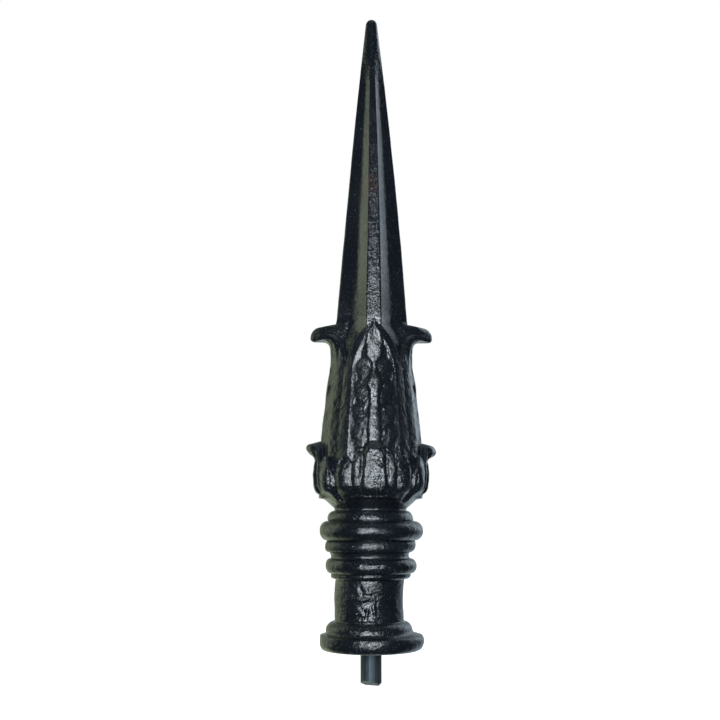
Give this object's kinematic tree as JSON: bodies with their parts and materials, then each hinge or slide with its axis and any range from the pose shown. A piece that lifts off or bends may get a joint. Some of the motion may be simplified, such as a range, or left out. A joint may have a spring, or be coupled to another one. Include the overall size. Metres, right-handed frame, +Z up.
{
  "type": "fence spear finial",
  "caption": "Cast-iron spear finial for a fence or gate post: fluted spear rising from curled leaves on a turned foot, held by a steel stud in the foot.",
  "frame": {"origin": "centre of the flat underside of the foot, where the stud comes out, at the level that seats on the post", "axes": "+Z up along the stud and the spear; the two curled leaf tips point along +X and -X; -Y is the front"},
  "size_m": [0.076, 0.0676, 0.3966],
  "materials": {
    "painted_cast_iron": "gloss black paint over a grainy sand casting, with specks and a little rust",
    "bare_steel": "dull blue-grey drawn bar with a sheared end"
  },
  "bodies": {
    "root": {"casting": "painted_cast_iron", "steel_stud": "bare_steel"}
  },
  "joints": []
}
